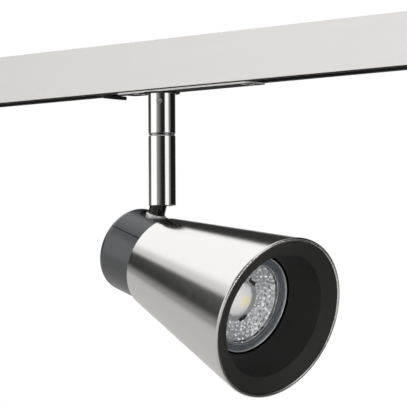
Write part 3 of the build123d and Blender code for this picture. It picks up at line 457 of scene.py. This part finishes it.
PLATED = {
    "copper": dict(colour=(0.72, 0.38, 0.24, 1), roughness=(0.22, 0.38)),
    "brass": dict(colour=(0.72, 0.54, 0.25, 1), roughness=(0.22, 0.36)),
    "zinc_steel": dict(colour=(0.56, 0.57, 0.58, 1), roughness=(0.3, 0.46), spread=0.14),
    "spring_steel": dict(colour=(0.42, 0.42, 0.43, 1), roughness=(0.2, 0.34)),
    "lamp_metal": dict(colour=(0.52, 0.53, 0.55, 1), roughness=(0.28, 0.42)),
}

MATERIALS = {
    "brushed_track": brushed_track(),
    "brushed_shade": brushed_shade(),
    "polished_chrome": polished_chrome(),
    "black_metal": black_metal("black_metal", bare_sides=False),
    "grey_plastic": housing_grey(),
    "baffle_black": baffle_black(),
    "earth_sleeve": earth_sleeve(),
    "circuit_board": circuit_board(),
    "lamp_clear": lamp_clear(),
    "lamp_mirror": lamp_mirror(),
    "lamp_diffuser": lamp_diffuser(),
}
MATERIALS.update({name: moulded(name, **look) for name, look in MOULDED.items()})
MATERIALS.update({name: plated(name, **look) for name, look in PLATED.items()})

SPECIAL_MATERIALS = {
    "flange_plate": black_metal("sheared_plate", bare_sides=True),
    "ball_neck": dark_neck(),
}


def dress_cad_nodes():
    """Give every CAD node the finished material of its slot, or its own."""
    for name, node in frame["nodes"].items():
        for material_slot in node.material_slots:
            plain = MATERIALS[material_slot.material.name.split(".")[0]]
            material_slot.material = SPECIAL_MATERIALS.get(name, plain)
    for body in UNMIRRORED_BODIES:
        for name in frame["record"]["behaviour"]["bodies"][body]:
            frame["nodes"][name].visible_glossy = False


# ------------------------------------------------------------------ lamp optics
LAMP_SEGMENTS = 400
RING_INNER = 20.0
RING_OUTER = 24.9
RING_BACK = 63.4
RING_FACE = 66.4
BEAD_RADIUS = 24.55
BEAD_SIZE = 0.32
BEAD_POINTS = 12
RIDGES = 48
RIDGE_DEPTH = 0.35
BOWL_RIM = (20.0, 63.3)
BOWL_FLOOR = (8.6, 58.5)
BOWL_SAG = 1.0
BOWL_WALL = 0.6
BOWL_STEPS = 84
DIMPLE_RINGS = 5
DIMPLES_ROUND = 34
DIMPLE_DEPTH = 0.8
DIMPLE_TILT = 2.2
SMOOTH_SHARE = 0.22
CLIP_ANGLES = (-32, 88, 208)
CLIP_RADIUS = 10.9
CLIP_BLOCKS = ((2.6, 1.0, -0.9, 0.35), (1.0, 0.55, 0.2, 0.8))
CLIP_BEVEL = 0.22
DOME_RADIUS = 8.2
DOME_BASE = 58.5
DOME_HEIGHT = 4.0
DOME_WALL = 0.8
DOME_RINGS = 24
DOME_SIDES = 96


def smooth_mesh(name, points, faces):
    """Smooth-shaded mesh from points in the OPTIC frame, in millimetres."""
    mesh = bpy.data.meshes.new(name)
    mesh.from_pydata([OPTIC @ (Vector(point) * MM) for point in points], [], faces)
    mesh.shade_smooth()
    piece = bpy.data.objects.new(name, mesh)
    bpy.context.scene.collection.objects.link(piece)
    return piece


def revolved(name, outline, segments, shift=None):
    """Closed (radius, height) outline turned about the beam; shift moves a point by index and angle."""
    points = []
    for step in range(segments):
        angle = 2 * pi * step / segments
        for index, (radius, height) in enumerate(outline):
            if shift:
                radius, height = shift(index, angle, radius, height)
            points.append((radius * cos(angle), radius * sin(angle), height))
    count = len(outline)
    faces = []
    for step in range(segments):
        here, there = step * count, (step + 1) % segments * count
        for index in range(count):
            following = (index + 1) % count
            faces.append((here + index, here + following, there + following, there + index))
    return smooth_mesh(name, points, faces)


def dimple_table(rng):
    """Depth and two tilts for each hammered facet."""
    return [[(rng.uniform(0.6, 1.0), rng.uniform(-1, 1), rng.uniform(-1, 1)) for _ in range(DIMPLES_ROUND)]
            for _ in range(DIMPLE_RINGS)]


def reflector_bowl():
    """Bowl with a smooth floor and rings of hammered facets up to its rim."""
    table = dimple_table(random.Random(7))
    (floor_radius, floor_height), (rim_radius, rim_height) = BOWL_FLOOR, BOWL_RIM
    outline = []
    for step in range(BOWL_STEPS + 1):
        share = step / BOWL_STEPS
        sag = BOWL_SAG * sin(pi * share)
        outline.append((floor_radius + (rim_radius - floor_radius) * share,
                        floor_height + (rim_height - floor_height) * share - sag))
    back = [(radius, height - BOWL_WALL) for radius, height in reversed(outline)]

    def hammer(index, angle, radius, height):
        share = index / BOWL_STEPS
        if index > BOWL_STEPS or share < SMOOTH_SHARE:
            return radius, height
        ring_place = (share - SMOOTH_SHARE) / (1 - SMOOTH_SHARE) * DIMPLE_RINGS
        ring = min(DIMPLE_RINGS - 1, int(ring_place))
        turn = (angle / (2 * pi) * DIMPLES_ROUND + 0.5 * (ring % 2)) % DIMPLES_ROUND
        cell = int(turn)
        s, t = ring_place - ring - 0.5, turn - cell - 0.5
        window = (1 - 4 * s * s) * (1 - 4 * t * t)
        depth, tilt_s, tilt_t = table[ring][cell]
        dip = window * (DIMPLE_DEPTH * depth * 0.5 + DIMPLE_TILT * (tilt_s * s + tilt_t * t))
        return radius, height + dip

    return revolved("lamp_bowl", outline + back, LAMP_SEGMENTS, hammer)


def lens_ring():
    """Clear outer ring with prismatic ridges on its back."""
    outline = [(RING_INNER, RING_BACK), (21.2, RING_BACK), (22.4, RING_BACK), (23.6, RING_BACK),
               (RING_OUTER, RING_BACK), (RING_OUTER, RING_FACE - 0.7), (24.3, RING_FACE - 0.4),
               (23.2, RING_FACE - 0.45), (21.6, RING_FACE - 0.3), (20.8, RING_FACE - 0.2),
               (20.2, RING_FACE - 0.7)]

    def ridge(index, angle, radius, height):
        if 1 <= index <= 3:
            height += RIDGE_DEPTH * abs(sin(angle * RIDGES / 2))
        return radius, height

    return revolved("lens_ring", outline, LAMP_SEGMENTS, ridge)


def lens_bezel():
    """Thin bright bead that holds the lens ring round its outer edge."""
    bead = []
    for step in range(BEAD_POINTS):
        angle = 2 * pi * step / BEAD_POINTS
        bead.append((BEAD_RADIUS + BEAD_SIZE * cos(angle), RING_FACE - 0.25 + BEAD_SIZE * sin(angle)))
    return revolved("lens_bezel", bead, LAMP_SEGMENTS)


def diffuser_dome():
    """Milky cap over the chip."""
    sphere = (DOME_RADIUS ** 2 + DOME_HEIGHT ** 2) / (2 * DOME_HEIGHT)
    centre = DOME_BASE + DOME_HEIGHT - sphere
    reach = atan2(DOME_RADIUS, DOME_BASE - centre)
    points = [(0, 0, centre + sphere)]
    for ring in range(1, DOME_RINGS + 1):
        slope = reach * ring / DOME_RINGS
        radius, height = sphere * sin(slope), centre + sphere * cos(slope)
        points += [(radius * cos(2 * pi * k / DOME_SIDES), radius * sin(2 * pi * k / DOME_SIDES), height)
                   for k in range(DOME_SIDES)]
    faces = [(0, 1 + k, 1 + (k + 1) % DOME_SIDES) for k in range(DOME_SIDES)]
    for ring in range(DOME_RINGS - 1):
        upper, lower = 1 + ring * DOME_SIDES, 1 + (ring + 1) * DOME_SIDES
        for k in range(DOME_SIDES):
            following = (k + 1) % DOME_SIDES
            faces.append((upper + k, lower + k, lower + following, upper + following))
    dome = smooth_mesh("diffuser_dome", points, faces)
    shell = dome.modifiers.new("wall", "SOLIDIFY")
    shell.thickness = DOME_WALL * MM
    shell.offset = -1
    return dome


def lens_clip(number, angle):
    """Foot with a rib on it, one of three beside the dome, coloured black as painted shade of the dark slots
    there.

    Each of its blocks is half its width round the bowl, half its length outwards, and two heights."""
    clip = bpy.data.objects.new("lens_clip_%d" % number, bpy.data.meshes.new("lens_clip"))
    bpy.context.scene.collection.objects.link(clip)
    mesh = bmesh.new()
    for across, out, low, high in CLIP_BLOCKS:
        block = bmesh.ops.create_cube(mesh, size=1.0)["verts"]
        for vertex in block:
            x, y, z = vertex.co
            vertex.co = Vector((x * out * 2, y * across * 2, (low + high) / 2 + z * (high - low)))
        edges = {edge for vertex in block for edge in vertex.link_edges}
        bmesh.ops.bevel(mesh, geom=list(edges), offset=CLIP_BEVEL, segments=3, affect="EDGES", profile=0.6)
    mesh.to_mesh(clip.data)
    mesh.free()
    floor_radius, floor_height = BOWL_FLOOR
    slope = (CLIP_RADIUS - floor_radius) / (BOWL_RIM[0] - floor_radius)
    height = floor_height + (BOWL_RIM[1] - floor_height) * slope - BOWL_SAG * sin(pi * slope)
    place = Matrix.Rotation(radians(angle), 4, "Z") @ Matrix.Translation((CLIP_RADIUS, 0, height))
    clip.data.transform(OPTIC @ Matrix.Scale(MM, 4) @ place)
    clip.data.shade_smooth()
    return clip


def fit_piece(piece, material_slot, node=None):
    """Let a new piece ride on the lamp in that slot's material, and stand for a CAD node."""
    piece.data.materials.append(MATERIALS[material_slot])
    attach(piece, "lamp")
    if node:
        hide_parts(node)


# ------------------------------------------------------------------ stage
def floor():
    """Round pale floor below the lamp."""
    angles = [2 * pi * k / FLOOR_SIDES for k in range(FLOOR_SIDES)]
    points = [(FLOOR_REACH * cos(angle), FLOOR_REACH * sin(angle), FLOOR_HEIGHT) for angle in angles]
    mesh = bpy.data.meshes.new("studio_floor")
    mesh.from_pydata(points, [], [tuple(range(FLOOR_SIDES))])
    colour = (0.83, 0.82, 0.80, 1)
    material, nodes, shader = new_material("floor", colour, specular=0.1)
    mottle = nodes.noise(object_place(nodes), 6.0)
    vary(nodes, shader, mottle, colour, spread=0.02, roughness=(0.8, 0.95), depth=0.1 * MM)
    mesh.materials.append(material)
    disc = bpy.data.objects.new("studio_floor", mesh)
    bpy.context.scene.collection.objects.link(disc)


def black_card():
    """Black card on the floor in front of the lamp's mouth, seen only by mirrors."""
    (x, y), height = CARD_PLACE, FLOOR_HEIGHT + CARD_LIFT
    signs = ((-1, -1), (1, -1), (1, 1), (-1, 1))
    corners = [(x + i * CARD_HALF, y + j * CARD_HALF, height) for i, j in signs]
    mesh = bpy.data.meshes.new("black_card")
    mesh.from_pydata(corners, [], [(0, 1, 2, 3)])
    mesh.materials.append(MATERIALS["cable_sheath"])
    card = bpy.data.objects.new("black_card", mesh)
    bpy.context.scene.collection.objects.link(card)
    card.visible_camera = False
    card.visible_diffuse = False
    card.visible_shadow = False


def span_window(nodes, angle, span, softness):
    """1 inside a span of angles, in degrees, and 0 outside; softness is (low side, high side)."""
    low, high = span
    soft_low, soft_high = softness
    above = nodes.ramp(angle, low - soft_low, low + soft_low)
    below = nodes.ramp(angle, high - soft_high, high + soft_high, 1.0, 0.0)
    return nodes.math("MULTIPLY", above, below)


def panel_mask(nodes, direction, elevation, panel):
    """Where one soft box or flag stands in the surroundings."""
    (left, right), height, _, (left_soft, right_soft, bottom_soft, top_soft) = panel
    middle = radians((left + right) / 2)
    half = (right - left) / 2
    forward = nodes.dot(direction, (cos(middle), sin(middle), 0))
    sideways = nodes.dot(direction, (-sin(middle), cos(middle), 0))
    azimuth = nodes.math("DEGREES", nodes.math("ARCTAN2", sideways, forward))
    across = span_window(nodes, azimuth, (-half, half), (left_soft, right_soft))
    return nodes.math("MULTIPLY", across, span_window(nodes, elevation, height, (bottom_soft, top_soft)))


def surroundings():
    """White to the eye, and a studio of soft boxes and flags to everything else."""
    world = bpy.data.worlds.new("studio")
    bpy.context.scene.world = world
    world.use_nodes = True
    world.node_tree.nodes.clear()
    nodes = Nodes(world.node_tree)
    direction = nodes.add("ShaderNodeTexCoord").outputs["Generated"]
    height = nodes.dot(direction, (0, 0, 1))
    elevation = nodes.math("DEGREES", nodes.math("ARCSINE", height))
    light = grey(WORLD_BASE)
    for panel in PANELS.values():
        light = nodes.blend(panel_mask(nodes, direction, elevation, panel), light, grey(panel[2]))
    seen = nodes.add("ShaderNodeLightPath").outputs["Is Camera Ray"]
    colour = nodes.blend(seen, light, grey(WORLD_SEEN))
    background = nodes.add("ShaderNodeBackground", colour, 1.0)
    nodes.add("ShaderNodeOutputWorld", background.outputs["Background"])


def soft_light(name, azimuth, elevation, distance, size, power):
    """Square soft light aimed at the pivot, unseen by the eye and by mirrors."""
    data = bpy.data.lights.new(name, "AREA")
    data.shape = "SQUARE"
    data.size = size
    data.energy = power
    lamp = bpy.data.objects.new(name, data)
    bpy.context.scene.collection.objects.link(lamp)
    azimuth, elevation = radians(azimuth), radians(elevation)
    away = Vector((cos(azimuth) * cos(elevation), sin(azimuth) * cos(elevation), sin(elevation)))
    lamp.location = PIVOT + distance * away
    lamp.rotation_euler = away.to_track_quat("Z", "Y").to_euler()
    lamp.visible_camera = False
    lamp.visible_glossy = False


def camera():
    """Long lens, about level with the lamp and looking a little up."""
    data = bpy.data.cameras.new("camera")
    data.lens = CAMERA_LENS
    data.clip_end = CAMERA_CLIP_END
    eye = bpy.data.objects.new("camera", data)
    bpy.context.scene.collection.objects.link(eye)
    level = Vector((cos(CAMERA_HEADING), sin(CAMERA_HEADING), 0)) * cos(CAMERA_PITCH)
    ahead = level + Vector((0, 0, sin(CAMERA_PITCH)))
    turn = ahead.to_track_quat("-Z", "Y").to_matrix().to_4x4()
    eye.matrix_world = Matrix.Translation(CAMERA_PLACE) @ turn @ Matrix.Rotation(CAMERA_ROLL, 4, "Z")
    bpy.context.scene.camera = eye


# ------------------------------------------------------------------ assembly
camera()
surroundings()
floor()
for light_name, setting in SOFT_LIGHTS.items():
    soft_light(light_name, *setting)
black_card()
bpy.context.scene.view_settings.view_transform = "Standard"
dress_cad_nodes()
fit_piece(reflector_bowl(), "lamp_mirror", "lamp_reflector")
fit_piece(lens_ring(), "lamp_clear", "lamp_lens")
fit_piece(lens_bezel(), "lamp_mirror")
fit_piece(diffuser_dome(), "lamp_diffuser", "led_dome")
# The clips take the black cable sheath material as painted shade.
for number, angle in enumerate(CLIP_ANGLES):
    fit_piece(lens_clip(number, angle), "cable_sheath")
